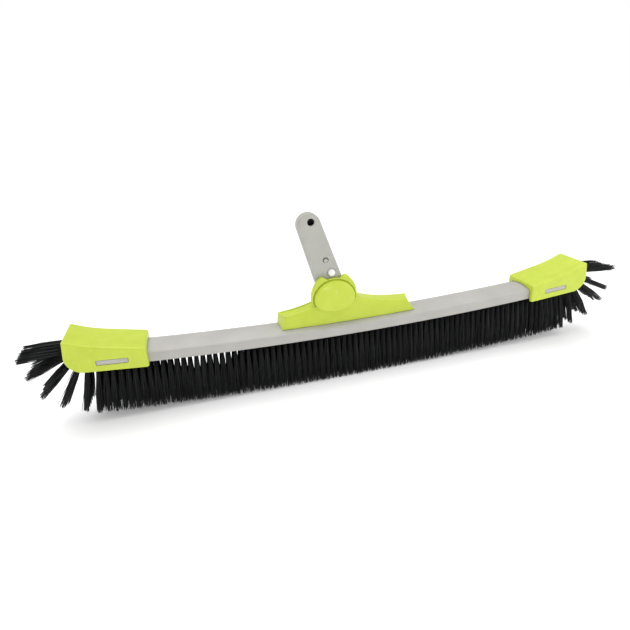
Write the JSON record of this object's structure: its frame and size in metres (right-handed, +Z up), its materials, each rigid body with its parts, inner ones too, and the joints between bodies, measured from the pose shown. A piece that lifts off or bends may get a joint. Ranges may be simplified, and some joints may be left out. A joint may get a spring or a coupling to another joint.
{
  "type": "pool wall brush",
  "caption": "Wide bowed pool brush head: metal rail, stiff black bristles that fan out at both ends, lime end caps, and a hinged pole tongue on a lime bracket.",
  "frame": {"origin": "on the surface that the brush stands on, bristles down, under the middle of the whole brush", "axes": "+X along the head, +Y away from the side with the lock button, +Z up from the bristle tips to the pole tongue"},
  "size_m": [0.708, 0.0478, 0.1962],
  "materials": {
    "anodised_rail": "satin clear anodised extrusion with fine lengthwise drawing lines",
    "black_block": "moulded black plastic",
    "black_bristle": "stiff black nylon filament",
    "lime_plastic": "injection moulded lime green plastic, soft gloss",
    "key_plastic": "moulded grey plastic",
    "grey_plastic": "matte light grey moulded plastic",
    "stainless_screw": "stainless steel",
    "spring_steel": "spring steel strip",
    "grey_rivet": "light grey painted rivet head",
    "brass_bush": "turned brass",
    "washer_rubber": "black fibre reinforced rubber",
    "white_plastic": "white moulded plastic"
  },
  "bodies": {
    "head": {"back_rail": "anodised_rail", "bristle_block": "black_block", "bristle_row_1": "black_bristle", "bristle_row_2": "black_bristle", "bristle_row_3": "black_bristle", "bristle_row_4": "black_bristle", "bristle_row_5": "black_bristle", "end_fan_left_1": "black_bristle", "end_fan_left_2": "black_bristle", "end_fan_left_3": "black_bristle", "end_fan_left_4": "black_bristle", "end_fan_left_5": "black_bristle", "end_fan_right_1": "black_bristle", "end_fan_right_2": "black_bristle", "end_fan_right_3": "black_bristle", "end_fan_right_4": "black_bristle", "end_fan_right_5": "black_bristle", "end_cap_left": "lime_plastic", "end_cap_right": "lime_plastic", "cap_key_left": "key_plastic", "cap_key_right": "key_plastic", "handle_bracket": "lime_plastic", "bracket_screw_1": "stainless_screw", "bracket_screw_2": "stainless_screw", "bracket_screw_3": "stainless_screw", "bracket_screw_4": "stainless_screw", "pivot_screw": "stainless_screw"},
    "tongue": {"pole_tongue": "grey_plastic", "tongue_cover": "black_block", "lock_spring": "spring_steel", "spring_rivet": "grey_rivet", "pivot_bush": "brass_bush", "friction_washer_front": "washer_rubber", "friction_washer_rear": "washer_rubber"},
    "button": {"lock_button": "white_plastic"}
  },
  "joints": [
    {"name": "swivel", "type": "hinge", "parent": "head", "child": "tongue", "pos_m": [-0.0222, 0, 0.099], "axis": [0, 1, 0], "range_deg": [-11, 17]},
    {"name": "lock_press", "type": "slide", "parent": "tongue", "child": "button", "axis": [0, 1, 0], "range_m": [0, 0.0032], "stiffness_N_per_m": 400, "springref_m": -0.002, "deforming": ["lock_spring"]}
  ]
}
